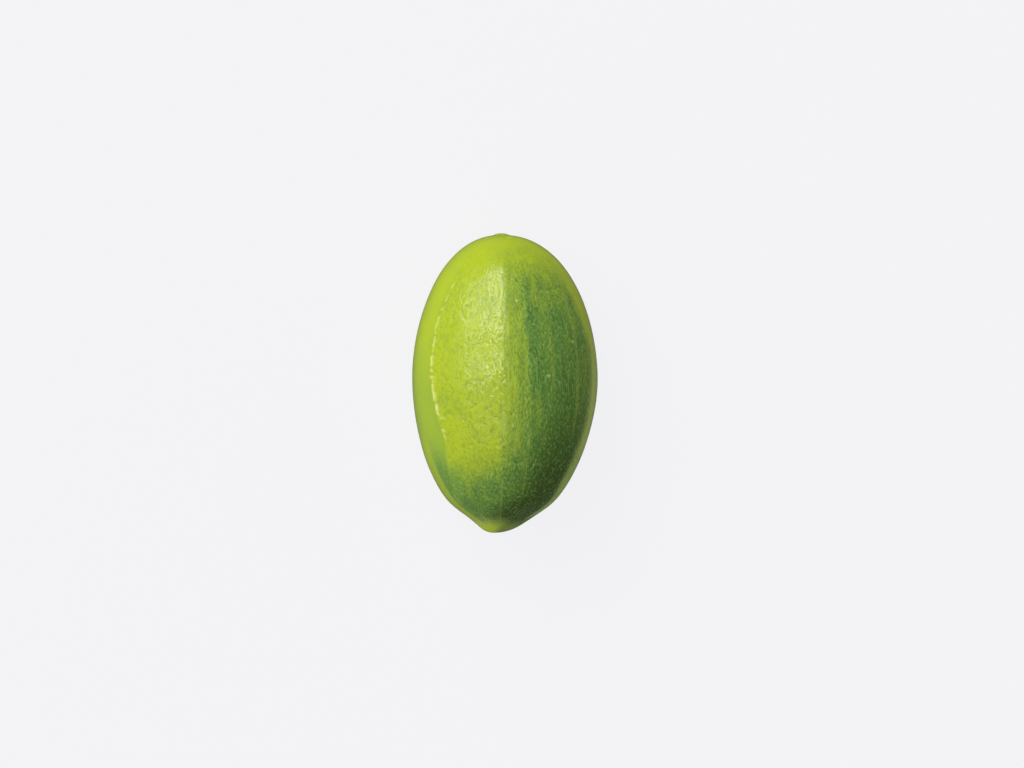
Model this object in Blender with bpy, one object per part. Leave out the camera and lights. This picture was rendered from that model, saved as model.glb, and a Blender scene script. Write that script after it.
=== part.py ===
"""Mung bean, one whole seed lying on its side.

The seed lies along Y: its broad round end points to +Y and its snout to -Y. The face with the
wrinkled cheek looks up, +Z. A smooth band with the seed scar runs along the -X flank, between two
raised seams. A small flat spot underneath rests on Z = 0, with the origin in the middle of the
seed's outline.

Two numbers place everything on the skin. The station runs along the seed, from +1 at the round
end through 0 at the widest place to -1 at the snout. The bearing runs round it, in radians, from
0 on the top line to +pi/2 on the +X flank and -pi/2 on the -X flank.
"""

import math

import bmesh
import bpy
from mathutils import Matrix, Vector

# Driving dimensions, in metres.
LENGTH = 0.00520
WIDTH = 0.00323
THICKNESS = 0.00306
FLAT_DEPTH = 0.00004

# The outline. Each half is close to half an ellipse: (1 - station ** power) ** root.
WIDEST_AT = 0.477  # share of the length, from the round end
ROUND_POWER, ROUND_ROOT = 1.850, 0.455
SNOUT_POWER, SNOUT_ROOT = 1.924, 0.524
PINCH_DEPTH, PINCH_AT, PINCH_REACH = 0.064, 0.921, 0.086
PINCH_ENDS = 60  # the power that frees the blunt snout from the pinch

# Both ends lean to -X. The snout has a slow drift over its half, and a hook at its very end.
ROUND_LEAN, ROUND_LEAN_POWER = 0.000035, 8
DRIFT, DRIFT_POWER = 0.000078, 1.6
HOOK, HOOK_POWER = 0.000087, 30

# The seam on the upper face bows outwards, furthest a little towards the round end. Before the
# snout it turns outwards again.
SEAM_BEARING = math.radians(-50.2)
SEAM_SWEEP = math.radians(25.0)
SEAM_PEAK = 0.185
SEAM_TURN = math.radians(16.0)
SEAM_TURN_AT, SEAM_TURN_REACH = 0.40, 0.35
SEAM_TOP, SEAM_FOOT, SEAM_FADE = 0.76, -0.33, 0.25  # it starts at the top and thins at the foot
SEAM_FOOT_SHARE = 0.3  # what is left of it towards the snout
SEAM_HEIGHT = 0.000022
SEAM_HALF_WIDTH = math.radians(1.6)

# The smooth band past the seam lies a little lower, and its far edge is a second, softer seam.
BAND_WIDTH = math.radians(110.0)
BAND_DROP = 0.000014
BAND_EDGE = math.radians(5.0)
FAR_SEAM_HEIGHT = 0.000010
FAR_SEAM_HALF_WIDTH = math.radians(4.0)

# Blunt creases along the seed, each with its bearing at the widest place, how far that bearing
# grows towards the snout, its height and how far round the seed it reaches.
CREASES = (
    (math.radians(1.5), math.radians(0.0), 0.000016, math.radians(13.0)),
    (math.radians(15.0), math.radians(9.0), 0.000020, math.radians(11.0)),
    (math.radians(51.0), math.radians(8.0), 0.000022, math.radians(13.0)),
    (math.radians(112.0), math.radians(0.0), 0.000018, math.radians(16.0)),
    (math.radians(150.0), math.radians(0.0), 0.000014, math.radians(16.0)),
)
CREASE_ROUNDING = math.radians(1.5)

# The seed scar, an oval cushion with a groove along it, in the middle of the smooth band.
SCAR_STATION = 0.06
SCAR_LENGTH = 0.00138
SCAR_WIDTH = 0.00046
SCAR_HEIGHT = 0.000045
SCAR_GROOVE_DEPTH = 0.000030
SCAR_GROOVE_WIDTH = 0.00009

# The round end carries a small raised point with a blunt top, and a pit beside it on the upper
# face. Offsets are from the end of the axis, along X and Z.
POINT_HEIGHT, POINT_REACH, POINT_POWER = 0.000030, 0.00012, 4
POINT_OFFSET = Vector((-0.00002, 0.0))
PIT_DEPTH, PIT_REACH = 0.000030, 0.000045
PIT_OFFSET = Vector((0.00010, 0.00038))

# Facets. The columns crowd towards the seam, so that its narrow ridge keeps a crisp edge.
COLUMNS = 88
ROWS = 62
CROWDING = 0.62

SKIN_COLOUR = (0.36, 0.52, 0.05, 1.0)
SKIN_ROUGHNESS = 0.38

SNOUT_REACH = LENGTH * (1 - WIDEST_AT)
ROUND_REACH = LENGTH - SNOUT_REACH - POINT_HEIGHT
SCAR_BEARING = SEAM_BEARING - BAND_WIDTH / 2


def bump(distance, reach):
    """1 in the middle and 0 far away, with a smooth round top."""
    return math.exp(-((distance / reach) ** 2))


def smooth_step(value):
    """0 below 0, 1 above 1, with a smooth rise between them."""
    share = min(max(value, 0.0), 1.0)
    return share * share * (3 - 2 * share)


def turn_between(bearing, other):
    """The signed angle from other to bearing, within half a turn."""
    return (bearing - other + math.pi) % (2 * math.pi) - math.pi


def girth(station):
    """The seed's half width at a station, as a share of the largest."""
    share = min(abs(station), 1.0)
    if station >= 0:
        return (1 - share**ROUND_POWER) ** ROUND_ROOT
    pinch = PINCH_DEPTH * bump(share - PINCH_AT, PINCH_REACH) * (1 - share**PINCH_ENDS)
    return (1 - share**SNOUT_POWER) ** SNOUT_ROOT - pinch


def axis_point(station):
    """The middle of the cross-section at a station."""
    share = abs(station)
    if station >= 0:
        return Vector((-ROUND_LEAN * share**ROUND_LEAN_POWER, station * ROUND_REACH, 0))
    lean = DRIFT * share**DRIFT_POWER + HOOK * share**HOOK_POWER
    return Vector((-lean, station * SNOUT_REACH, 0))


def seam_bearing(station):
    turn = SEAM_TURN * smooth_step((-station - SEAM_TURN_AT) / SEAM_TURN_REACH)
    return SEAM_BEARING + SEAM_SWEEP * (station - SEAM_PEAK) ** 2 - turn


def seam_relief(station, bearing):
    """The raised seam, the lower smooth band past it and the softer seam on the band's far side."""
    past = -turn_between(bearing, seam_bearing(station))
    shown = smooth_step((SEAM_TOP - station) / SEAM_FADE)
    shown *= 1 - (1 - SEAM_FOOT_SHARE) * smooth_step((SEAM_FOOT - station) / SEAM_FADE)
    rise = SEAM_HEIGHT * shown * bump(past, SEAM_HALF_WIDTH)
    rise += FAR_SEAM_HEIGHT * bump(past - BAND_WIDTH, FAR_SEAM_HALF_WIDTH)
    inside = smooth_step(past / BAND_EDGE) * smooth_step((BAND_WIDTH - past) / BAND_EDGE)
    return rise - BAND_DROP * shown * inside


def crease_relief(station, bearing):
    """Rounded roof lines along the seed, with flatter cheeks between them."""
    rise = 0.0
    for middle, sweep, height, reach in CREASES:
        away = abs(turn_between(bearing, middle + sweep * max(-station, 0.0)))
        away = math.hypot(away, CREASE_ROUNDING) - CREASE_ROUNDING
        rise += height * math.exp(-away / reach)
    return rise


def scar_relief(station, bearing):
    """The oval scar's raised cushion and the groove along its middle."""
    along = (station - SCAR_STATION) * ROUND_REACH
    across = turn_between(bearing, SCAR_BEARING) * WIDTH / 2
    from_middle = math.hypot(along * 2 / SCAR_LENGTH, across * 2 / SCAR_WIDTH)
    if from_middle >= 1:
        return 0.0
    cushion = SCAR_HEIGHT * math.sqrt(1 - from_middle**2)
    groove = SCAR_GROOVE_DEPTH * bump(across, SCAR_GROOVE_WIDTH / 2)
    return cushion - groove * smooth_step(2 * (1 - from_middle))


def round_end_relief(offset):
    """The small point on the round end and the pit beside it, by the offset from the axis."""
    from_point = (offset - POINT_OFFSET).length / POINT_REACH
    point = POINT_HEIGHT * math.exp(-(from_point**POINT_POWER))
    return point - PIT_DEPTH * bump((offset - PIT_OFFSET).length, PIT_REACH)


def skin_point(station, bearing):
    """The place on the skin, in metres from the middle of the widest cross-section."""
    share = girth(station)
    raised = seam_relief(station, bearing) + crease_relief(station, bearing)
    rise = raised * share + scar_relief(station, bearing)
    offset = Vector(
        (
            math.sin(bearing) * (share * WIDTH / 2 + rise),
            math.cos(bearing) * (share * THICKNESS / 2 + rise),
        )
    )
    place = axis_point(station) + Vector((offset.x, 0, offset.y))
    if station > 0:
        place.y += round_end_relief(offset)
    return place


def shaped_sphere():
    """A ball of facets, each of its corners moved to its place on the skin."""
    shape = bmesh.new()
    to_y = Matrix.Rotation(math.radians(-90), 4, "X")
    bmesh.ops.create_uvsphere(shape, u_segments=COLUMNS, v_segments=ROWS, radius=1, matrix=to_y)
    for corner in shape.verts:
        station = corner.co.y
        turn = math.atan2(corner.co.x, corner.co.z)
        bearing = seam_bearing(station) + turn - CROWDING * math.sin(turn)
        corner.co = skin_point(station, bearing)
    return shape


def cut_resting_spot(shape):
    """Slices a thin cap off the underside and closes the cut with one flat face."""
    lowest = min(corner.co.z for corner in shape.verts)
    height = lowest + FLAT_DEPTH
    everything = list(shape.verts) + list(shape.edges) + list(shape.faces)
    cut = bmesh.ops.bisect_plane(
        shape,
        geom=everything,
        dist=1e-8,
        plane_co=(0, 0, height),
        plane_no=(0, 0, -1),
        clear_outer=True,
    )
    rim = [piece for piece in cut["geom_cut"] if isinstance(piece, bmesh.types.BMEdge)]
    bmesh.ops.edgeloop_fill(shape, edges=rim)
    return height


def centre_on_origin(shape, height):
    """Puts the middle of the outline over the origin and the resting spot on Z = 0."""
    across = [corner.co.x for corner in shape.verts]
    along = [corner.co.y for corner in shape.verts]
    middle = Vector(((min(across) + max(across)) / 2, (min(along) + max(along)) / 2, height))
    bmesh.ops.translate(shape, verts=shape.verts, vec=-middle)


def skin_material():
    material = bpy.data.materials.new("green seed coat")
    material.use_nodes = True
    shader = material.node_tree.nodes["Principled BSDF"]
    shader.inputs["Base Color"].default_value = SKIN_COLOUR
    shader.inputs["Roughness"].default_value = SKIN_ROUGHNESS
    shader.inputs["Metallic"].default_value = 0.0
    return material


def make_bean(collection):
    shape = shaped_sphere()
    centre_on_origin(shape, cut_resting_spot(shape))
    bmesh.ops.recalc_face_normals(shape, faces=shape.faces)
    mesh = bpy.data.meshes.new("bean")
    shape.to_mesh(mesh)
    shape.free()
    mesh.materials.append(skin_material())
    mesh.shade_smooth()
    bean = bpy.data.objects.new("bean", mesh)
    collection.objects.link(bean)
    return bean


def main():
    for old in list(bpy.data.objects):
        bpy.data.objects.remove(old)
    collection = bpy.data.collections.new("mung bean")
    bpy.context.scene.collection.children.link(collection)
    make_bean(collection)


main()
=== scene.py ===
"""Mung bean: the finished look of one whole seed on a pale studio floor.

Run as a script, it grows the seed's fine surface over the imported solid, paints its coat with nodes
and sets up the floor, the light and the camera. As an add-on it shows the same two steps, with
their sizes and colours, in the 3D view's sidebar.

Two numbers place everything on the skin. The station runs along the seed, from +1 at the round
end through 0 at the widest place to -1 at the snout. The bearing runs round it, in radians, from
0 on the top line to +pi/2 on the +X flank and -pi/2 on the -X flank.
"""

import math

import bmesh
import bpy
import numpy as np
from mathutils import Matrix, Vector, noise


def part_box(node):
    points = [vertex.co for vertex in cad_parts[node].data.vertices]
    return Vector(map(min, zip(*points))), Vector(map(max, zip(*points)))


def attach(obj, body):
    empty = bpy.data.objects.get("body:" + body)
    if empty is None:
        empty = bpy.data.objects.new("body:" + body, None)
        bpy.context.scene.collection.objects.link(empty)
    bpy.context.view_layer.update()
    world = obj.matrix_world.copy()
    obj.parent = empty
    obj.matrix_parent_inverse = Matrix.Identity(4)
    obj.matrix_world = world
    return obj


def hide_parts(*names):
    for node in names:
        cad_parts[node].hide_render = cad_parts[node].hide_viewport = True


bl_info = {
    "name": "Mung Bean",
    "version": (1, 0, 0),
    "blender": (4, 5, 0),
    "location": "3D View > Sidebar > Mung Bean",
    "description": "Grows a wrinkled green mung bean and its pale studio",
    "category": "Add Mesh",
}

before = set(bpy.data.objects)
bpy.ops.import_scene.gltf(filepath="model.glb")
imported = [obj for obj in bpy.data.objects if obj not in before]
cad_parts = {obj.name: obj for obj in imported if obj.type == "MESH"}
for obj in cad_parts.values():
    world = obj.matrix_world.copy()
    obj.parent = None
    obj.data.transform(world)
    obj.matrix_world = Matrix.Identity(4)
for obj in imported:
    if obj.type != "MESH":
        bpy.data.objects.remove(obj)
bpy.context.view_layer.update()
SEED_LOW, SEED_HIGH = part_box("bean")

# The seed's size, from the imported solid, in metres.
WIDTH, LENGTH, THICKNESS = SEED_HIGH - SEED_LOW
FLAT_DEPTH = 0.00004  # of the cap that is sliced off underneath

# The outline. Each half is close to half an ellipse: (1 - station ** power) ** root.
WIDEST_AT = 0.477  # share of the length, from the round end
ROUND_POWER, ROUND_ROOT = 1.850, 0.455
SNOUT_POWER, SNOUT_ROOT = 1.924, 0.524
PINCH_DEPTH, PINCH_AT, PINCH_REACH = 0.064, 0.921, 0.086
PINCH_ENDS = 60  # the power that frees the blunt snout from the pinch

# Both ends lean to -X. The snout has a slow drift over its half, and a hook at its very end.
ROUND_LEAN, ROUND_LEAN_POWER = 0.000035, 8
DRIFT, DRIFT_POWER = 0.000078, 1.6
HOOK, HOOK_POWER = 0.000087, 30

# The raised seam, the smooth band past it and the band's softer far seam.
SEAM_BEARING = math.radians(-50.2)
SEAM_SWEEP = math.radians(25.0)
SEAM_PEAK = 0.185
SEAM_TURN = math.radians(16.0)
SEAM_TURN_AT, SEAM_TURN_REACH = 0.40, 0.35
SEAM_TOP, SEAM_FOOT, SEAM_FADE = 0.76, -0.33, 0.25  # it starts at the top and thins at the foot
SEAM_FOOT_SHARE = 0.3  # what is left of it towards the snout
SEAM_HEIGHT = 0.000022
SEAM_HALF_WIDTH = math.radians(1.6)
BAND_WIDTH = math.radians(110.0)
BAND_DROP = 0.000014
BAND_EDGE = math.radians(5.0)
FAR_SEAM_HEIGHT = 0.000010
FAR_SEAM_HALF_WIDTH = math.radians(4.0)

# Blunt creases along the seed: bearing at the widest place, its growth towards the snout, height
# and how far round the seed they reach.
CREASES = (
    (math.radians(1.5), math.radians(0.0), 0.000016, math.radians(13.0)),
    (math.radians(15.0), math.radians(9.0), 0.000020, math.radians(11.0)),
    (math.radians(51.0), math.radians(8.0), 0.000022, math.radians(13.0)),
    (math.radians(112.0), math.radians(0.0), 0.000018, math.radians(16.0)),
    (math.radians(150.0), math.radians(0.0), 0.000014, math.radians(16.0)),
)
CREASE_ROUNDING = math.radians(1.5)

# The seed scar in the middle of the smooth band.
SCAR_STATION = 0.06
SCAR_LENGTH = 0.00138
SCAR_WIDTH = 0.00046
SCAR_HEIGHT = 0.000045
SCAR_GROOVE_DEPTH = 0.000030
SCAR_GROOVE_WIDTH = 0.00009

# The raised point on the round end and the pit beside it. Offsets are from the end of the axis,
# along X and Z.
POINT_HEIGHT, POINT_REACH, POINT_POWER = 0.000030, 0.00012, 4
POINT_OFFSET = (-0.00002, 0.0)
PIT_DEPTH, PIT_REACH = 0.000030, 0.000045
PIT_OFFSET = (0.00010, 0.00038)

SNOUT_REACH = LENGTH * (1 - WIDEST_AT)
ROUND_REACH = LENGTH - SNOUT_REACH - POINT_HEIGHT
SCAR_BEARING = SEAM_BEARING - BAND_WIDTH / 2

# Facets of the fine surface: a cage, and the cuts across each of its edges. The columns crowd on
# the upper face, from the seam to the far flank, and the rows towards the middle. Near the seam the
# columns follow it.
CAGE_COLUMNS = 76
CAGE_ROWS = 80
FACET_CUTS = 3
CROWDING, CROWDING_SPREAD = 0.62, 0.12
CROWDED_BEARING = math.radians(-16.0)
ROW_CROWDING = 0.15
FOLLOWING_REACH = math.radians(30.0)

# The leathery wrinkles, in units of one wrinkle's width and depth: how they are drawn out along X, Y
# and Z and bent, their mean level, and the share of the broad and of the narrow ones in it.
WRINKLE_STRETCH = (1.0, 0.7, 1.0)
WRINKLE_BEND, BEND_SCALE = 0.8, 0.6
WRINKLE_LEVEL, BROAD_SHARE, NARROW_SHARE = 0.75, 0.9, 0.7
NARROW_SCALE = 1.9
RIPPLE_COUNT, RIPPLE_SCALE, RIPPLE_HEIGHT = 26.0, 0.3, 0.12
GROOVE_SCALE, GROOVE_WIDTH, GROOVE_DEPTH = 0.9, 0.12, 0.35
GROOVE_SHADE_LEVEL = 0.9  # painted shade darkens the coat below this height of the wrinkles
ASIDE = (7.3, 2.9, 5.1)  # parts two patterns that would else lie on each other
WRINKLE_SEED = 4  # the same bends each run

# Sizes of the other fine relief, in metres, along X, Y and Z where there are three numbers.
PATCH_SIZE = 0.00042
SWELL_SIZE = (0.00045, 0.0008, 0.00045)
FURROW_SIZE = (0.00010, 0.0011, 0.00010)
LINE_HEIGHT = 0.000005
SPECK_RADIUS = 0.000022

# Grain of the coat's nodes, in metres along X, Y and Z.
STREAK_SIZE = (0.00013, 0.0016, 0.00013)
MOTTLE_SIZE = (0.0004, 0.0006, 0.0004)
PEEL_SIZE = (0.000030, 0.000034, 0.000030)
DASH_SIZE = (0.000028, 0.000075, 0.000028)
PEBBLE_SIZE = (0.000048, 0.000060, 0.000048)
FLECK_SIZE = (0.000028, 0.000048, 0.000028)

# Strength of the coat's marks, as shares of full colour.
STREAK_CHANGE, MOTTLE_CHANGE = 0.24, 0.08
CLOUD_LOW, CLOUD_HIGH = -0.05, 0.16
# Painted shade in the hollows of the wrinkles, towards deep green.
GROOVE_SHADE = 0.28
# Pale flecks are partly painted glints, dark flecks partly painted shade of the grain.
PALE_FLECKS_AND_GLINTS, DARK_FLECKS_AND_SHADE = 0.44, 0.60
PALE_LINE_CREAM = 0.35

# The coat's shine.
SMOOTHEST, ROUGHEST = 0.09, 0.13
COAT_SPECULAR = 0.55

# Bearings and widths below are in degrees, and starts and ends are stations along the seed.

# Where the cheek's wrinkles and the flank's furrows change over, and the middle of the underside,
# where both sides of the seed meet.
CHEEK_END, CHEEK_CHANGE = -2, 5
FLANK_START = 12
UNDERSIDE_START, UNDERSIDE_CHANGE = 140, 38
UNDERSIDE_WRINKLES = 0.25

# Streaks of the coat: bearing, half width, where each starts and ends, and how much deeper its
# green is. The last one is paler.
STREAKS = (
    (17.3, 2.6, 0.82, 0.02, 0.30),
    (25.5, 3.0, 0.05, -0.55, 0.14),
    (36.5, 3.6, 0.52, -0.35, 0.24),
    (43.0, 2.5, 0.12, -0.45, 0.12),
    (24.0, 3.2, 0.18, -0.18, 0.42),
    (48.5, 3.0, 0.48, -0.12, 0.25),
    (27.0, 3.0, 0.62, 0.05, -0.10),
)
STREAK_FADE = 0.15
STEP_BEARING, STEP_SWEEP = 15.0, 9.0  # the crease where the green deepens at once

# Width of the smooth rims, bands of painted rim light along the outline, as a share of the largest
# half width.
RIM_WIDTH, LOW_RIM_WIDTH = 0.135, 0.095
NEAR_RIM_WIDTH = 0.115

# Worn dashes of the seam: where each starts and ends, how far it lies past the seam, its half width
# and how pale it is.
DASH_FADE = 0.02
DASH_RISE, GAP_DROP = 0.40, 0.55  # as shares of the seam's height
SEAM_WANDER, SEAM_WAVES = 0.25, 91.0
SEAM_DASHES = (
    (0.650, 0.610, -1.0, 1.0, 0.45),
    (0.565, 0.520, -0.6, 1.1, 0.25),
    (0.475, 0.455, 0.0, 1.5, 0.65),
    (0.413, 0.375, 0.2, 0.9, 0.85),
    (0.375, 0.322, 0.7, 0.9, 0.90),
    (0.312, 0.290, 0.4, 1.3, 0.55),
    (0.275, 0.225, -0.8, 0.8, 0.75),
    (0.232, 0.200, -0.1, 0.8, 0.80),
    (0.185, 0.160, 0.0, 1.2, 0.35),
    (0.142, 0.065, 0.1, 0.9, 1.00),
    (0.048, 0.022, 0.5, 1.5, 0.80),
    (0.000, -0.018, 0.6, 2.2, 1.00),
    (-0.030, -0.042, -0.8, 1.6, 0.60),
    (-0.050, -0.110, 0.3, 1.0, 1.00),
    (-0.100, -0.158, 0.0, 1.4, 1.00),
    (-0.176, -0.250, -0.1, 1.3, 0.95),
    (-0.258, -0.272, -2.6, 2.4, 0.55),
    (-0.332, -0.352, -0.4, 1.6, 0.65),
    (-0.352, -0.400, 0.0, 1.0, 0.40),
)

# Fine pale ridges: bearing at the widest place, its growth per station towards the round end, where
# each starts and ends, and how strong it is. Specks have a station and a bearing.
LINE_HALF_WIDTH, LINE_FADE = 0.9, 0.08
SPECK_STRENGTH = 2.0
PALE_LINES = (
    (50.5, -3.0, 0.62, -0.42, 0.45),
    (14.5, -7.0, -0.30, -0.80, 0.25),
    (2.5, 3.0, -0.62, -0.95, 0.35),
    (-51.5, 0.0, -0.70, -0.86, 0.6),
    (-29.0, 0.0, -0.82, -0.94, 0.7),
)
SPECKS = ((0.238, 47.5), (0.519, 9.0), (0.0, 28.0))

# The camera looks straight down, and the picture is 1024 by 768.
CAMERA_LENS = 100.0
SENSOR_WIDTH = 36.0
VIEW_WIDTH = 0.01778
VIEW_CENTRE = (0.000125, -0.000017)
WIDEST_HEIGHT = 0.0015

# The floor reaches this far each way, lies this far under the seed, and glows so that it is as even
# as the backdrop.
FLOOR_REACH = 0.5
FLOOR_DROP = 0.00001
FLOOR_GREY = 0.05
FLOOR_GLOW = 0.95

# Soft lights: the pitch of each from straight up towards the round end, its left, right, low and
# high sides as shares of its distance, its brightness, and whether the coat mirrors it. The glow of
# the ground comes from below.
WINDOW_DISTANCE = 0.30
WINDOW_PANES = {
    "upper pane near": (34.0, -0.44, -0.13, -0.19, 0.70, 5.2, True),
    "upper pane far": (34.0, -1.20, -0.53, -0.19, 0.66, 2.7, True),
    "lower pane near": (34.0, -0.44, -0.18, -0.76, -0.33, 5.1, True),
    "lower pane far": (34.0, -1.20, -0.53, -0.78, -0.33, 3.1, True),
    "middle fill": (20.0, -0.09, 0.12, -0.70, 0.70, 1.6, False),
    "low strip": (-22.0, -0.80, 0.08, -0.07, 0.07, 1.4, True),
    "front fill": (-48.0, -1.10, 0.10, -0.50, 0.50, 0.9, False),
    "far fill": (20.0, 1.00, 3.00, -0.90, 1.10, 0.95, False),
    "near fill": (10.0, -3.00, -1.40, -0.90, 1.10, 1.3, False),
    "ground glow": (180.0, -2.00, 2.00, -2.00, 2.00, 0.09, True),
}
WATTS_PER_RADIANCE = math.pi  # for each square metre of a lamp


def smooth_step(value):
    """0 below 0, 1 above 1, with a smooth rise between them."""
    share = np.clip(value, 0.0, 1.0)
    return share * share * (3 - 2 * share)


def climb(value, start, reach):
    """0 up to the start, then a smooth rise over the reach, to 1."""
    return smooth_step((value - start) / reach)


def fall(value, end, reach):
    """1 at first, then a smooth fall over the reach, to 0 at the end."""
    return smooth_step((end - value) / reach)


def bump(distance, reach):
    """1 in the middle and 0 far away, with a smooth round top."""
    return np.exp(-((distance / reach) ** 2))


def turn_between(bearing, other):
    """The signed angle from other to bearing, within half a turn."""
    return (bearing - other + math.pi) % (2 * math.pi) - math.pi


def girth(station):
    """The seed's half width at a station, as a share of the largest."""
    share = np.clip(np.abs(station), 0.0, 1.0)
    pinch = PINCH_DEPTH * bump(share - PINCH_AT, PINCH_REACH) * (1 - share**PINCH_ENDS)
    round_half = (1 - share**ROUND_POWER) ** ROUND_ROOT
    snout_half = (1 - share**SNOUT_POWER) ** SNOUT_ROOT - pinch
    return np.where(station >= 0, round_half, snout_half)


def axis_lean(station):
    """How far the middle of the cross-section lies towards -X."""
    share = np.abs(station)
    snout_lean = DRIFT * share**DRIFT_POWER + HOOK * share**HOOK_POWER
    return np.where(station >= 0, ROUND_LEAN * share**ROUND_LEAN_POWER, snout_lean)


def seam_bearing(station):
    turn = SEAM_TURN * smooth_step((-station - SEAM_TURN_AT) / SEAM_TURN_REACH)
    return SEAM_BEARING + SEAM_SWEEP * (station - SEAM_PEAK) ** 2 - turn


def seam_relief(station, bearing):
    past = -turn_between(bearing, seam_bearing(station))
    shown = smooth_step((SEAM_TOP - station) / SEAM_FADE)
    shown *= 1 - (1 - SEAM_FOOT_SHARE) * smooth_step((SEAM_FOOT - station) / SEAM_FADE)
    rise = SEAM_HEIGHT * shown * bump(past, SEAM_HALF_WIDTH)
    rise += FAR_SEAM_HEIGHT * bump(past - BAND_WIDTH, FAR_SEAM_HALF_WIDTH)
    inside = smooth_step(past / BAND_EDGE) * smooth_step((BAND_WIDTH - past) / BAND_EDGE)
    return rise - BAND_DROP * shown * inside


def crease_relief(station, bearing):
    rise = 0.0
    for middle, sweep, height, reach in CREASES:
        away = np.abs(turn_between(bearing, middle + sweep * np.maximum(-station, 0.0)))
        away = np.hypot(away, CREASE_ROUNDING) - CREASE_ROUNDING
        rise = rise + height * np.exp(-away / reach)
    return rise


def scar_place(station, bearing):
    """How far each place is from the scar's middle, 1 at its rim, and how far across it."""
    along = (station - SCAR_STATION) * ROUND_REACH
    across = turn_between(bearing, SCAR_BEARING) * WIDTH / 2
    return np.hypot(along * 2 / SCAR_LENGTH, across * 2 / SCAR_WIDTH), across


def scar_relief(station, bearing):
    from_middle, across = scar_place(station, bearing)
    inside = np.clip(1 - from_middle**2, 0.0, 1.0)
    cushion = SCAR_HEIGHT * np.sqrt(inside)
    groove = SCAR_GROOVE_DEPTH * bump(across, SCAR_GROOVE_WIDTH / 2)
    return cushion - groove * smooth_step(2 * (1 - from_middle))


def round_end_relief(across, up):
    from_point = np.hypot(across - POINT_OFFSET[0], up - POINT_OFFSET[1]) / POINT_REACH
    point = POINT_HEIGHT * np.exp(-(from_point**POINT_POWER))
    pit = bump(np.hypot(across - PIT_OFFSET[0], up - PIT_OFFSET[1]), PIT_REACH)
    return point - PIT_DEPTH * pit


def skin_points(station, bearing, fine):
    """The places on the skin, in metres from the middle of the widest cross-section."""
    share = girth(station)
    raised = seam_relief(station, bearing) + crease_relief(station, bearing)
    rise = raised * share + scar_relief(station, bearing) + fine
    across = np.sin(bearing) * (share * WIDTH / 2 + rise)
    up = np.cos(bearing) * (share * THICKNESS / 2 + rise)
    reach = np.where(station >= 0, ROUND_REACH, SNOUT_REACH)
    along = station * reach + np.where(station > 0, round_end_relief(across, up), 0.0)
    return np.column_stack((across - axis_lean(station), along, up))


class BeanRelief(bpy.types.PropertyGroup):
    """The fine relief of the seed coat."""

    wrinkle_depth: bpy.props.FloatProperty(
        name="Wrinkle depth",
        description="Depth of the leathery wrinkles on the cheek",
        default=0.000009,
        min=0.0,
        max=0.00002,
        precision=7,
        unit="LENGTH",
    )
    wrinkle_size: bpy.props.FloatProperty(
        name="Wrinkle size",
        description="Width of one wrinkle",
        default=0.000072,
        min=0.00003,
        max=0.001,
        precision=6,
        unit="LENGTH",
    )
    swell_height: bpy.props.FloatProperty(
        name="Swell height",
        description="Height of the slow swell under the wrinkles",
        default=0.0000050,
        min=0.0,
        max=0.00005,
        precision=7,
        unit="LENGTH",
    )
    furrow_depth: bpy.props.FloatProperty(
        name="Furrow depth",
        description="Depth of the long furrows that run from end to end",
        default=0.0000030,
        min=0.0,
        max=0.00002,
        precision=7,
        unit="LENGTH",
    )
    pebble_depth: bpy.props.FloatProperty(
        name="Pebble depth",
        description="Depth of the coat's finest grain",
        default=0.0000090,
        min=0.0,
        max=0.00004,
        precision=7,
        unit="LENGTH",
    )


def coat_colour(name, description, default):
    """A colour that the user can change in the sidebar."""
    return bpy.props.FloatVectorProperty(
        name=name,
        description=description,
        default=default,
        subtype="COLOR",
        size=4,
        min=0.0,
        max=1.0,
    )


class BeanColours(bpy.types.PropertyGroup):
    """The pigments of the seed coat. The olive also paints rim light on the far rim, and the dark
    green paints shade.
    """

    light_green: coat_colour(
        "Light green", "Coat on the cheek and the round end", (0.50, 0.62, 0.028, 1.0)
    )
    deep_green: coat_colour(
        "Deep green", "Coat on the far flank and towards the snout", (0.140, 0.285, 0.055, 1.0)
    )
    # The darkest green is partly the coat's own and partly painted shade; it also paints the shadow
    # at the tip and the dark flecks.
    dark_green_and_shade: coat_colour(
        "Dark green", "Darkest coat, low on the far flank", (0.053, 0.098, 0.022, 1.0)
    )
    fresh_green: coat_colour(
        "Fresh green", "Coat of the smooth band, low down", (0.25, 0.43, 0.075, 1.0)
    )
    # Pale flecks in a whitish green: partly the coat's speckle, partly painted glints.
    fleck_and_glint_green: coat_colour("Fleck green", "Palest flecks on the far flank", (0.46, 0.70, 0.17, 1.0))
    # The olive is the snout tip's own colour, and painted rim light on the far rim.
    olive: coat_colour("Olive", "Tired yellow of the snout and the far rim", (0.47, 0.60, 0.11, 1.0))
    seam_cream: coat_colour(
        "Seam cream", "Pale cream of the worn seam and the finest ridges", (0.78, 0.86, 0.20, 1.0)
    )
    scar_white: coat_colour("Scar white", "Dry white of the seed scar", (0.80, 0.78, 0.62, 1.0))


class BeanStudio(bpy.types.PropertyGroup):
    """The floor and the light."""

    brightness: bpy.props.FloatProperty(
        name="Window brightness",
        description="How bright the window's panes are, as a share of their usual brightness",
        default=1.0,
        min=0.0,
        max=10.0,
        subtype="FACTOR",
    )
    floor_colour: coat_colour(
        "Floor colour", "Pale grey of the floor and the backdrop", (0.896, 0.896, 0.913, 1.0)
    )


class MUNG_OT_grow_seed(bpy.types.Operator):
    """Grows the seed's fine surface and paints its coat"""

    bl_idname = "mung.grow_seed"
    bl_label = "Grow seed"
    bl_options = {"REGISTER", "UNDO"}

    def execute(self, context):
        relief = context.scene.bean_relief
        mesh = fine_seed_mesh(relief)
        mesh.materials.append(seed_coat(context.scene.bean_colours, relief.pebble_depth))
        seed = bpy.data.objects.new("mung_bean_seed", mesh)
        context.scene.collection.objects.link(seed)
        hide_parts("bean")
        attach(seed, "root")
        return {"FINISHED"}


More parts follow.
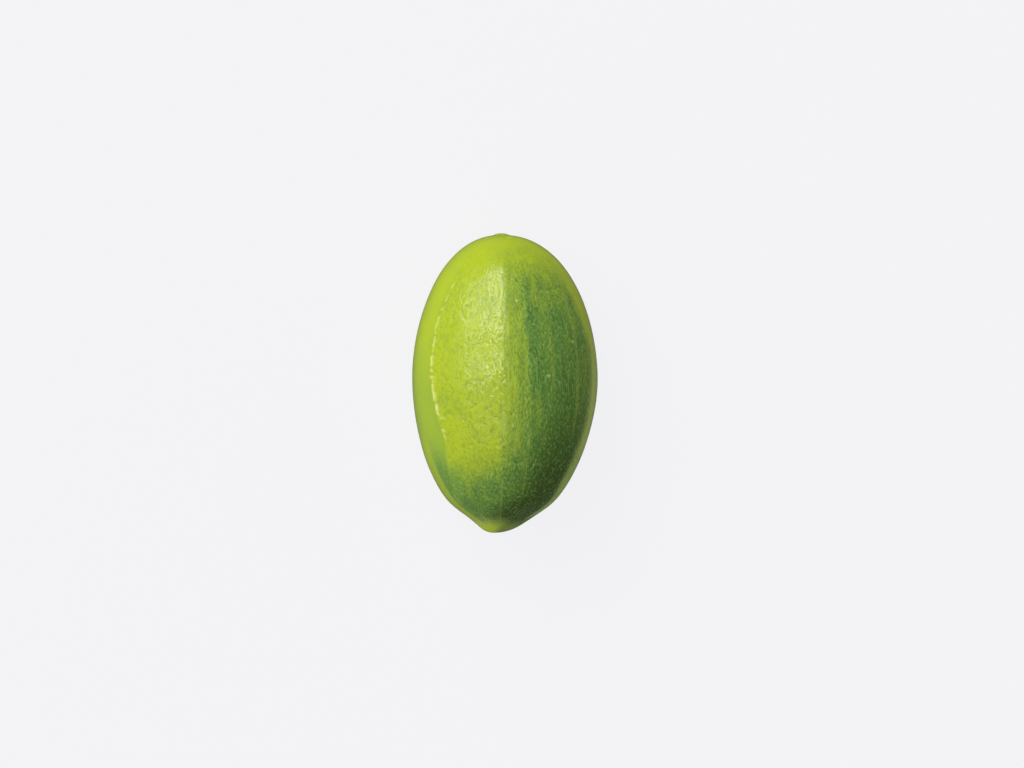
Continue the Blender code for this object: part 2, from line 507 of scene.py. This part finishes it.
class MUNG_OT_set_stage(bpy.types.Operator):
    """Sets up the floor, the window light and the camera"""

    bl_idname = "mung.set_stage"
    bl_label = "Set stage"
    bl_options = {"REGISTER", "UNDO"}

    def execute(self, context):
        studio = context.scene.bean_studio
        floor(context, studio.floor_colour)
        backdrop(context.scene, studio.floor_colour)
        for name, pane in WINDOW_PANES.items():
            window_pane(context, name, studio.brightness, *pane)
        context.scene.camera = overhead_camera(context)
        context.scene.view_settings.view_transform = "Standard"
        return {"FINISHED"}


def fine_seed_mesh(relief):
    """A closed mesh of fine facets on the skin, with the masks that the coat is painted by."""
    mesh = ball_of_facets()
    station, bearing = places_round_seed(mesh)
    places = skin_points(station, bearing, 0.0)
    wrinkles = leathery_wrinkles(places, relief.wrinkle_size)
    fine = fine_relief(relief, station, bearing, places, wrinkles)
    mesh.vertices.foreach_set("co", skin_points(station, bearing, fine).ravel())
    for name, values in coat_masks(station, bearing, wrinkles).items():
        layer = mesh.attributes.new(name, "FLOAT", "POINT")
        layer.data.foreach_set("value", np.asarray(values, np.float32))
    rest_on_flat_spot(mesh)
    mesh.shade_smooth()
    return mesh


def places_round_seed(mesh):
    """The station and the bearing of each corner, crowded where the finest relief lies."""
    ball = np.empty(len(mesh.vertices) * 3)
    mesh.vertices.foreach_get("co", ball)
    ball = ball.reshape(-1, 3)
    ball /= np.linalg.norm(ball, axis=1)[:, None]
    row = np.arccos(np.clip(ball[:, 1], -1.0, 1.0))
    station = np.cos(row + ROW_CROWDING * np.sin(2 * row))
    turn = np.arctan2(ball[:, 0], ball[:, 2])
    bearing = turn - CROWDING * np.sin(turn) + CROWDING_SPREAD * np.sin(2 * turn)
    bearing += CROWDED_BEARING
    following = bump(bearing - SEAM_BEARING, FOLLOWING_REACH)
    bearing += following * (seam_bearing(station) - SEAM_BEARING)
    return station, bearing


def fine_relief(relief, station, bearing, places, wrinkles):
    """The height of all that is too fine for the solid, in metres."""
    fine = relief.wrinkle_depth * wrinkled_share(station, bearing) * (wrinkles - 1.0)
    furrows = long_furrows(station, bearing)
    fine += relief.furrow_depth * furrowed_share(station, bearing) * furrows
    fine += relief.swell_height * grain_share(station, bearing) * slow_swell(places)
    fine += SEAM_HEIGHT * uneven_seam(station, bearing)
    fine += LINE_HEIGHT * pale_lines_share(station, bearing)
    return fine


def coat_masks(station, bearing, wrinkles):
    """How strongly each pigment and finish shows at each corner, by name."""
    leather = wrinkled_share(station, bearing)
    pale_lines = PALE_LINE_CREAM * pale_lines_share(station, bearing)
    return {
        "deep": deep_share(station, bearing),
        "dark": dark_and_shade_share(station, bearing),
        "tip shadow": tip_shadow_share(station, bearing),
        "fresh": fresh_share(station, bearing),
        "olive": olive_tip_and_rim_light_share(station, bearing),
        "yellow": yellow_share(station, bearing),
        "cream": np.maximum(worn_seam_share(station, bearing), pale_lines),
        "scar": scar_share(station, bearing),
        "leather": leather,
        "grain": grain_share(station, bearing),
        # Painted shade in the hollows of the wrinkles.
        "groove": leather * smooth_step(GROOVE_SHADE_LEVEL - wrinkles),
    }


def ball_of_facets():
    """A ball whose facets lie in rows and columns, with its poles on the Y axis."""
    shape = bmesh.new()
    bmesh.ops.create_uvsphere(
        shape,
        u_segments=CAGE_COLUMNS,
        v_segments=CAGE_ROWS,
        radius=1,
        matrix=Matrix.Rotation(math.radians(-90), 4, "X"),
    )
    bmesh.ops.subdivide_edges(shape, edges=shape.edges, cuts=FACET_CUTS, use_grid_fill=True)
    mesh = bpy.data.meshes.new("mung bean seed")
    shape.to_mesh(mesh)
    shape.free()
    return mesh


def noise_over(places):
    """A soft pattern of hills and hollows, one unit apart, from about -0.6 to 0.6."""
    return np.array([noise.noise(place) for place in places.tolist()])


def leathery_wrinkles(places, size):
    """About 0 in the hollows and 1 on the tops, with ripples in patches and thin grooves."""
    noise.seed_set(WRINKLE_SEED)
    places = places / size * WRINKLE_STRETCH
    bends = [noise.noise_vector(place) for place in (places * BEND_SCALE).tolist()]
    places = places + WRINKLE_BEND * np.array(bends)
    broad = BROAD_SHARE * noise_over(places)
    narrow = NARROW_SHARE * noise_over(places * NARROW_SCALE + ASIDE)
    tops = smooth_step(WRINKLE_LEVEL + broad + narrow)
    ripple = RIPPLE_HEIGHT * np.sin(RIPPLE_COUNT * noise_over(places * RIPPLE_SCALE))
    patch = smooth_step(2.5 * noise_over(places * (size / PATCH_SIZE)) + 0.5)
    groove = GROOVE_DEPTH * bump(noise_over(places * GROOVE_SCALE - ASIDE), GROOVE_WIDTH)
    return tops + ripple * patch - groove * (1 - 0.5 * patch)


def long_furrows(station, bearing):
    """-1 to 1, in long lines that follow the seed's length towards both ends."""
    across = WIDTH / 2 / FURROW_SIZE[0]
    along = ROUND_REACH / FURROW_SIZE[1]
    lines = np.column_stack((across * np.sin(bearing), along * station, across * np.cos(bearing)))
    return 2 * noise_over(lines)


def slow_swell(places):
    return 2 * noise_over(places / SWELL_SIZE)


def degrees_round(bearing):
    """The bearing in degrees, from -180 to 180 with 0 on the top line."""
    return np.degrees(turn_between(bearing, 0.0))


def past_seam(station, bearing):
    """How far past the seam a place lies, in degrees, on the smooth band's side."""
    return np.degrees(-turn_between(bearing, seam_bearing(station)))


def band_share(station, bearing):
    """1 on the smooth band, from seam to seam."""
    past = past_seam(station, bearing)
    return climb(past, 1, 3) * fall(past, math.degrees(BAND_WIDTH), 4)


def rim_bearing(station, width):
    """Where a smooth rim of painted rim light starts, in degrees. The rim keeps its width towards
    both ends.
    """
    return np.degrees(np.arcsin(np.clip(1 - width / girth(station).clip(0.05), 0.0, 1.0)))


def near_rim_light_share(station, bearing):
    """1 on the -X rim beside the snout, a band of painted rim light that keeps the deep green away.
    """
    turn = degrees_round(bearing)
    rim = climb(-turn, rim_bearing(station, NEAR_RIM_WIDTH), 6)
    return rim * fall(station, -0.30, 0.20) * climb(turn, -110, 20)


def far_rim_light_share(station, bearing):
    """1 on the smooth +X rim, a band of painted rim light in olive, which narrows at the snout."""
    turn = degrees_round(bearing)
    width = LOW_RIM_WIDTH + (RIM_WIDTH - LOW_RIM_WIDTH) * climb(station, 0.15, 0.30)
    width = width + 0.02 * fall(station, -0.30, 0.20) - 0.03 * fall(station, -0.66, 0.12)
    return climb(turn, rim_bearing(station, width) - 3, 13) * fall(turn, 104, 20)


def upper_share(turn):
    """1 on the upper face and both flanks, and 0 along the middle of the underside."""
    return 1 - climb(np.abs(turn), UNDERSIDE_START, UNDERSIDE_CHANGE)


def grain_share(station, bearing):
    """0 where the coat is smooth: on the band, on the rims and at both ends."""
    turn = degrees_round(bearing)
    far_rim = climb(turn, rim_bearing(station, LOW_RIM_WIDTH), 12) * fall(turn, 94, 8)
    rims = (1 - 0.75 * far_rim) * (1 - 0.6 * near_rim_light_share(station, bearing))
    ends = fall(station, 0.97, 0.15) * climb(station, -0.95, 0.06)
    band = band_share(station, bearing) * (1 - 0.7 * fall(station, -0.38, 0.20))
    band = band * (1 - 0.45 * climb(past_seam(station, bearing), 42, 18))
    return (1 - band) * rims * ends


def wrinkled_share(station, bearing):
    """1 on the leathery cheek, less past the top line and towards both ends."""
    turn = degrees_round(bearing)
    cheek = 1 - 0.55 * climb(turn, CHEEK_END, CHEEK_CHANGE) - 0.2 * climb(turn, FLANK_START, 8)
    cheek = UNDERSIDE_WRINKLES + (cheek - UNDERSIDE_WRINKLES) * upper_share(turn)
    cheek = cheek * (0.82 + 0.33 * fall(station, 0.10, 0.30))
    cheek = cheek * (1 - 0.5 * bump(turn + 1, 4) * climb(station, 0.30, 0.20))
    ends = fall(station, 0.90, 0.36) * (1 - 0.35 * fall(station, -0.40, 0.30))
    return cheek * ends * grain_share(station, bearing)


def furrowed_share(station, bearing):
    """1 on the far flank, where the furrows are deepest."""
    turn = degrees_round(bearing)
    flank = climb(turn, FLANK_START, 14) * upper_share(turn)
    return grain_share(station, bearing) * (0.2 + 0.8 * flank)


def flank_share(station, bearing):
    """How deep the green of the far flank is. It deepens in steps from the top line on."""
    turn = degrees_round(bearing)
    step = STEP_BEARING + STEP_SWEEP * np.maximum(-station, 0.0)
    spread = 14 * climb(station, 0.50, 0.35)
    flank = 0.42 * climb(turn, -4 - 0.6 * spread, 7 + spread) + 0.22 * climb(turn, 2, 10)
    flank = flank + 0.25 * climb(turn, step - 1.5, 3) + 0.11 * climb(turn, 20, 15)
    for middle, reach, start, end, strength in STREAKS:
        length = fall(station, start, STREAK_FADE) * climb(station, end, STREAK_FADE)
        flank = flank + strength * length * bump(turn - middle, reach)
    flank = flank * fall(station, 1.00, 0.34)
    flank = flank * (1 - 0.46 * climb(station, 0.30, 0.50) * climb(turn, 8, 14))
    flank = flank * (1 - 0.45 * climb(turn, 95, 40)) * upper_share(turn)
    flank = flank * (1 - 0.15 * climb(turn, 42, 12) * climb(station, -0.20, 0.30))
    # Painted rim light on the far rim takes most of the deep green away.
    return flank * (1 - 0.85 * far_rim_light_share(station, bearing))


def deep_share(station, bearing):
    """How deep the green is: 0 on the cheek and 1 low on the far flank and on the snout."""
    turn = degrees_round(bearing)
    slant = 0.003 * turn.clip(-60, 60) * upper_share(turn)
    snout = fall(station, slant - 0.37, 0.36) * (1 - band_share(station, bearing))
    band = 0.75 * band_share(station, bearing) * fall(station, -0.44, 0.28)
    deep = 1 - (1 - flank_share(station, bearing)) * (1 - snout) * (1 - band)
    # Painted rim light on the near rim takes the deep green away.
    return deep * (1 - 0.9 * near_rim_light_share(station, bearing))


def dark_and_shade_share(station, bearing):
    """1 in the darkest green, low on the far flank and just above the snout's tip. It is partly the
    coat's own green and partly painted shade on the side turned from the window.
    """
    turn = degrees_round(bearing)
    low = np.maximum(-station - 0.2, 0.0)
    start = 22 - 25 * low - 80 * low**2
    full = 42 - 34 * climb(low, 0.5, 0.2)
    depth = 0.2 + 0.8 * fall(station, 0.08, 0.78)
    far = fall(turn, 130, 30) * fall(station, 0.50, 0.50)
    dark = depth * far * climb(turn, start, full - start)
    # No darkest green under the far rim's painted rim light.
    return dark * (1 - far_rim_light_share(station, bearing))


def fresh_share(station, bearing):
    """1 in the fresh green of the smooth band, fullest towards the snout."""
    band = 0.08 + 0.42 * fall(station, 0.55, 0.90) + 0.4 * fall(station, -0.33, 0.30)
    foot = 0.8 * bump(degrees_round(bearing) + 42, 9) * fall(station, -0.50, 0.12)
    share = np.maximum(band * band_share(station, bearing), foot)
    # Less fresh green under the near rim's painted rim light.
    return share * (1 - 0.7 * near_rim_light_share(station, bearing))


def olive_tip_and_rim_light_share(station, bearing):
    """1 on the snout's tip, which is olive, and low on the +X rim, where the olive is painted rim
    light.
    """
    rim = far_rim_light_share(station, bearing) * fall(station, 0.45, 0.50)
    rim = rim * (1 - 0.3 * fall(station, -0.30, 0.40))
    return np.maximum(rim, tip_share(station, bearing))


def towards_tip(station, bearing):
    """How far a place lies from the seed's middle towards the snout, with uneven edges round it."""
    turn = degrees_round(bearing)
    uneven = 0.008 * np.sin(np.radians(turn * 4 + 60)) + 0.005 * np.sin(np.radians(turn * 11))
    return uneven - station


def tip_share(station, bearing):
    """1 on the olive tip of the snout."""
    turn = degrees_round(bearing)
    start = 0.875 + 0.02 * climb(turn, -10, 30) * upper_share(turn)
    return 0.9 * climb(towards_tip(station, bearing), start, 0.06)


def tip_shadow_share(station, bearing):
    """1 in the darkest part of the snout's tip, on its +X side."""
    turn = degrees_round(bearing)
    tip = towards_tip(station, bearing)
    shadow = 0.55 * climb(tip, 0.86, 0.05) * climb(turn, -32, 50)
    return shadow * upper_share(turn) + 0.12 * bump(tip - 0.915, 0.03)


def yellow_share(station, bearing):
    """1 in the bright yellow patch on the -X side of the snout's tip."""
    turn = degrees_round(bearing)
    patch = climb(towards_tip(station, bearing), 0.925, 0.035)
    return 0.85 * patch * (1 - climb(turn, -22, 40)) * climb(turn, -120, 40)


def worn_seam_share(station, bearing):
    """The pale worn dashes along the seam."""
    past = past_seam(station, bearing) + SEAM_WANDER * np.sin(station * SEAM_WAVES)
    worn = np.zeros(len(station))
    for start, end, aside, half_width, strength in SEAM_DASHES:
        inside = fall(station, start + DASH_FADE / 2, DASH_FADE)
        inside = inside * climb(station, end - DASH_FADE / 2, DASH_FADE)
        worn = np.maximum(worn, strength * inside * bump(past - aside, half_width))
    return worn


def uneven_seam(station, bearing):
    """The seam's ridge, a little higher at the worn dashes and lower in the gaps between them."""
    worn = worn_seam_share(station, bearing)
    ridge = bump(np.radians(past_seam(station, bearing)), SEAM_HALF_WIDTH)
    ridge = ridge * fall(station, SEAM_TOP, SEAM_FADE)
    ridge = ridge * climb(station, SEAM_FOOT - SEAM_FADE, SEAM_FADE)
    return DASH_RISE * worn - GAP_DROP * ridge * (1 - worn)


def pale_lines_share(station, bearing):
    """The finest pale ridges along the seed, and a few raised specks."""
    turn = degrees_round(bearing)
    lines = np.zeros(len(station))
    for at, sweep, start, end, strength in PALE_LINES:
        middle = at + sweep * station
        length = fall(station, start, LINE_FADE) * climb(station, end, LINE_FADE)
        lines = np.maximum(lines, strength * length * bump(turn - middle, LINE_HALF_WIDTH))
    for speck_station, speck_turn in SPECKS:
        along = (station - speck_station) * ROUND_REACH
        across = np.radians(turn - speck_turn) * WIDTH / 2
        from_speck = np.hypot(along, across)
        lines = np.maximum(lines, SPECK_STRENGTH * bump(from_speck, SPECK_RADIUS))
    return lines


def scar_share(station, bearing):
    """1 on the dry scar, less in the groove along it."""
    from_middle, across = scar_place(station, bearing)
    groove = 0.5 * bump(across, SCAR_GROOVE_WIDTH / 2)
    return fall(from_middle, 1.06, 0.36) * (1 - groove)


def rest_on_flat_spot(mesh):
    """Slices a thin cap off the underside, closes it flat and fits the mesh to the solid's box."""
    shape = bmesh.new()
    shape.from_mesh(mesh)
    lowest = min(corner.co.z for corner in shape.verts)
    everything = list(shape.verts) + list(shape.edges) + list(shape.faces)
    cut = bmesh.ops.bisect_plane(
        shape,
        geom=everything,
        dist=1e-8,
        plane_co=(0, 0, lowest + FLAT_DEPTH),
        plane_no=(0, 0, -1),
        clear_outer=True,
    )
    rim = [piece for piece in cut["geom_cut"] if isinstance(piece, bmesh.types.BMEdge)]
    bmesh.ops.edgeloop_fill(shape, edges=rim)
    bmesh.ops.recalc_face_normals(shape, faces=shape.faces)
    shape.to_mesh(mesh)
    shape.free()
    corners = np.empty(len(mesh.vertices) * 3)
    mesh.vertices.foreach_get("co", corners)
    corners = corners.reshape(-1, 3)
    low, high = corners.min(0), corners.max(0)
    share = (corners - low) / (high - low)
    fitted = np.array(SEED_LOW) + share * np.array(SEED_HIGH - SEED_LOW)
    mesh.vertices.foreach_set("co", fitted.ravel())


class NodePainter:
    """Adds nodes to a material's tree, with their inputs set or joined."""

    def __init__(self, tree):
        self.tree = tree
        self.places = tree.nodes.new("ShaderNodeTexCoord").outputs["Object"]

    def add(self, kind, inputs, **settings):
        node = self.tree.nodes.new(kind)
        for name, value in settings.items():
            setattr(node, name, value)
        for name, value in inputs.items():
            self.give(node.inputs[name], value)
        return node

    def give(self, socket, value):
        if isinstance(value, bpy.types.NodeSocket):
            self.tree.links.new(value, socket)
        else:
            socket.default_value = value

    def mask(self, name):
        return self.add("ShaderNodeAttribute", {}, attribute_name=name).outputs["Fac"]

    def mix(self, share, first, second):
        node = self.tree.nodes.new("ShaderNodeMix")
        node.data_type = "RGBA"
        sockets = [socket for socket in node.inputs if socket.enabled]
        for socket, value in zip(sockets, (share, first, second)):
            self.give(socket, value)
        return next(socket for socket in node.outputs if socket.enabled)

    def math(self, operation, first, second=0.0):
        node = self.tree.nodes.new("ShaderNodeMath")
        node.operation = operation
        self.give(node.inputs[0], first)
        self.give(node.inputs[1], second)
        return node.outputs[0]

    def stretch(self, value, low, high, to_low=0.0, to_high=1.0):
        inputs = {
            "Value": value,
            "From Min": low,
            "From Max": high,
            "To Min": to_low,
            "To Max": to_high,
        }
        return self.add("ShaderNodeMapRange", inputs).outputs["Result"]

    def scaled_places(self, size):
        scale = tuple(1 / side for side in size)
        mapping = self.add("ShaderNodeMapping", {"Vector": self.places, "Scale": scale})
        return mapping.outputs["Vector"]

    def noise(self, size, detail=2.0, distortion=0.0):
        """A soft pattern from 0 to 1, with grains of the given size along X, Y and Z."""
        inputs = {
            "Vector": self.scaled_places(size),
            "Scale": 1.0,
            "Detail": detail,
            "Distortion": distortion,
        }
        return self.add("ShaderNodeTexNoise", inputs).outputs["Fac"]


def seed_coat(colours, pebble_depth):
    """The glossy coat: its pigments, with painted rim light and painted shade among them, flecks,
    worn seam, scar, finest grain and shine.
    """
    material = bpy.data.materials.new("green seed coat")
    material.use_nodes = True
    shader = material.node_tree.nodes["Principled BSDF"]
    painter = NodePainter(material.node_tree)
    mottle = painter.noise(MOTTLE_SIZE, detail=3.0)
    dashes = painter.noise(DASH_SIZE, detail=2.0)
    flecks = painter.noise(FLECK_SIZE, detail=1.0)

    colour = green_pigments(painter, colours, mottle)
    colour = flecked_with_glints_and_shade(painter, colours, colour, dashes, flecks)
    colour = painter.mix(painter.mask("cream"), colour, colours.seam_cream)
    colour = painter.mix(painter.mask("scar"), colour, colours.scar_white)
    painter.give(shader.inputs["Base Color"], colour)

    rise = finest_grain(painter, dashes, flecks)
    relief = painter.add("ShaderNodeBump", {"Height": rise, "Distance": pebble_depth})
    painter.give(shader.inputs["Normal"], relief.outputs["Normal"])
    roughness = painter.stretch(mottle, 0.3, 0.7, SMOOTHEST, ROUGHEST)
    painter.give(shader.inputs["Roughness"], roughness)
    shader.inputs["Specular IOR Level"].default_value = COAT_SPECULAR
    return material


def green_pigments(painter, colours, mottle):
    """The greens of the coat, from the light cheek to the dark flank, and the tip's olive, with
    painted shade in the wrinkles' hollows, at the tip and low on the far flank.
    """
    deep = painter.mask("deep")
    streaks = painter.noise(STREAK_SIZE, detail=3.0)
    change = painter.stretch(streaks, 0.3, 0.7, -STREAK_CHANGE, STREAK_CHANGE)
    mottled = painter.stretch(mottle, 0.3, 0.7, -MOTTLE_CHANGE, MOTTLE_CHANGE)
    change = painter.math("ADD", change, mottled)
    change = painter.math("MULTIPLY", change, painter.stretch(deep, 0.0, 0.5, 0.30, 1.0))
    change = painter.math("MULTIPLY", change, painter.mask("grain"))
    clouds = painter.stretch(mottle, 0.35, 0.7, CLOUD_LOW, CLOUD_HIGH)
    fresh = painter.math("ADD", painter.mask("fresh"), clouds)
    colour = painter.mix(fresh, colours.light_green, colours.fresh_green)
    colour = painter.mix(painter.math("ADD", deep, change), colour, colours.deep_green)
    colour = painter.mix(painter.mask("dark"), colour, colours.dark_green_and_shade)
    colour = painter.mix(painter.mask("olive"), colour, colours.olive)
    colour = painter.mix(painter.mask("tip shadow"), colour, colours.dark_green_and_shade)
    colour = painter.mix(painter.mask("yellow"), colour, colours.light_green)
    # Painted shade: the hollows of the wrinkles darken towards deep green.
    groove = painter.math("MULTIPLY", painter.mask("groove"), GROOVE_SHADE)
    return painter.mix(groove, colour, colours.deep_green)


def flecked_with_glints_and_shade(painter, colours, colour, dashes, flecks):
    """The colour with pale and dark flecks, strongest where the green is deep. They are partly the
    coat's own speckle, partly painted glints and painted shade that follow the grain's bumps.
    """
    pattern = painter.math("MULTIPLY", dashes, 0.6)
    pattern = painter.math("ADD", pattern, painter.math("MULTIPLY", flecks, 0.4))
    shown = painter.stretch(painter.mask("deep"), 0.0, 0.7, 0.32, 1.0)
    shown = painter.math("MULTIPLY", painter.mask("grain"), shown)
    dimmed = painter.stretch(painter.mask("dark"), 0.3, 1.0, 1.0, 0.75)
    shown = painter.math("MULTIPLY", shown, dimmed)
    pale = painter.stretch(pattern, 0.50, 0.70, 0.0, PALE_FLECKS_AND_GLINTS)
    dark = painter.stretch(pattern, 0.50, 0.30, 0.0, DARK_FLECKS_AND_SHADE)
    colour = painter.mix(painter.math("MULTIPLY", pale, shown), colour, colours.fleck_and_glint_green)
    return painter.mix(painter.math("MULTIPLY", dark, shown), colour, colours.dark_green_and_shade)


def finest_grain(painter, dashes, flecks):
    """The height of the coat's pebbles and of the pits in its leather."""
    pebbles = painter.noise(PEBBLE_SIZE, detail=1.0)
    rise = painter.math("ADD", painter.math("MULTIPLY", dashes, 0.5), pebbles)
    rise = painter.math("ADD", rise, painter.math("MULTIPLY", flecks, 0.4))
    coarse = painter.stretch(painter.mask("deep"), 0.45, 0.80, 0.15, 1.0)
    coarse = painter.math("MULTIPLY", painter.mask("grain"), coarse)
    rise = painter.math("MULTIPLY", rise, coarse)
    peel = painter.noise(PEEL_SIZE, detail=1.0, distortion=0.8)
    pits = painter.stretch(peel, 0.30, 0.48, -0.5, 0.0)
    return painter.math("ADD", rise, painter.math("MULTIPLY", pits, painter.mask("leather")))


def floor(context, colour):
    mesh = bpy.data.meshes.new("pale floor")
    shape = bmesh.new()
    bmesh.ops.create_grid(shape, x_segments=1, y_segments=1, size=FLOOR_REACH)
    shape.to_mesh(mesh)
    shape.free()
    material = bpy.data.materials.new("pale floor")
    material.use_nodes = True
    shader = material.node_tree.nodes["Principled BSDF"]
    shader.inputs["Base Color"].default_value = (FLOOR_GREY, FLOOR_GREY, FLOOR_GREY, 1.0)
    shader.inputs["Roughness"].default_value = 1.0
    shader.inputs["Specular IOR Level"].default_value = 0.0
    shader.inputs["Emission Color"].default_value = colour
    shader.inputs["Emission Strength"].default_value = FLOOR_GLOW
    mesh.materials.append(material)
    ground = bpy.data.objects.new("floor", mesh)
    ground.location.z = -FLOOR_DROP
    ground.visible_glossy = False
    context.scene.collection.objects.link(ground)
    return ground


def backdrop(scene, colour):
    world = bpy.data.worlds.new("pale backdrop")
    world.use_nodes = True
    world.node_tree.nodes["Background"].inputs["Color"].default_value = colour
    scene.world = world
    world.cycles_visibility.diffuse = False
    world.cycles_visibility.glossy = False


def window_pane(context, name, share, pitch, left, right, low, high, brightness, mirrored):
    """One pane of the window, a soft light that faces the seed."""
    light = bpy.data.lights.new(name, "AREA")
    light.shape = "RECTANGLE"
    light.size = (right - left) * WINDOW_DISTANCE
    light.size_y = (high - low) * WINDOW_DISTANCE
    light.energy = share * brightness * light.size * light.size_y * WATTS_PER_RADIANCE
    pane = bpy.data.objects.new(name, light)
    turn = Matrix.Rotation(-math.radians(pitch), 4, "X")
    middle = Vector(((left + right) / 2, (low + high) / 2, 1.0)) * WINDOW_DISTANCE
    pane.matrix_world = turn @ Matrix.Translation(middle)
    pane.visible_camera = False
    pane.visible_glossy = mirrored
    context.scene.collection.objects.link(pane)


def overhead_camera(context):
    data = bpy.data.cameras.new("overhead camera")
    data.lens = CAMERA_LENS
    data.sensor_width = SENSOR_WIDTH
    data.clip_start = 0.001
    camera = bpy.data.objects.new("overhead camera", data)
    distance = VIEW_WIDTH * CAMERA_LENS / SENSOR_WIDTH
    camera.location = (*VIEW_CENTRE, WIDEST_HEIGHT + distance)
    context.scene.collection.objects.link(camera)
    return camera


class MUNG_PT_panel(bpy.types.Panel):
    """Lists the steps that make the mung bean"""

    bl_idname = "MUNG_PT_panel"
    bl_label = "Mung Bean"
    bl_space_type = "VIEW_3D"
    bl_region_type = "UI"
    bl_category = "Mung Bean"

    def draw(self, context):
        for title, group, step in (
            ("Relief", context.scene.bean_relief, None),
            ("Colours", context.scene.bean_colours, "mung.grow_seed"),
            ("Studio", context.scene.bean_studio, "mung.set_stage"),
        ):
            box = self.layout.box()
            box.label(text=title)
            for name in group.__annotations__:
                box.prop(group, name)
            if step:
                box.operator(step)


CLASSES = (BeanRelief, BeanColours, BeanStudio, MUNG_OT_grow_seed, MUNG_OT_set_stage, MUNG_PT_panel)
GROUPS = {"bean_relief": BeanRelief, "bean_colours": BeanColours, "bean_studio": BeanStudio}


def register():
    for kind in CLASSES:
        bpy.utils.register_class(kind)
    for name, group in GROUPS.items():
        setattr(bpy.types.Scene, name, bpy.props.PointerProperty(type=group))


def unregister():
    for name in GROUPS:
        delattr(bpy.types.Scene, name)
    for kind in reversed(CLASSES):
        bpy.utils.unregister_class(kind)


def main():
    register()
    bpy.ops.mung.grow_seed()
    bpy.ops.mung.set_stage()


if __name__ == "__main__":
    main()
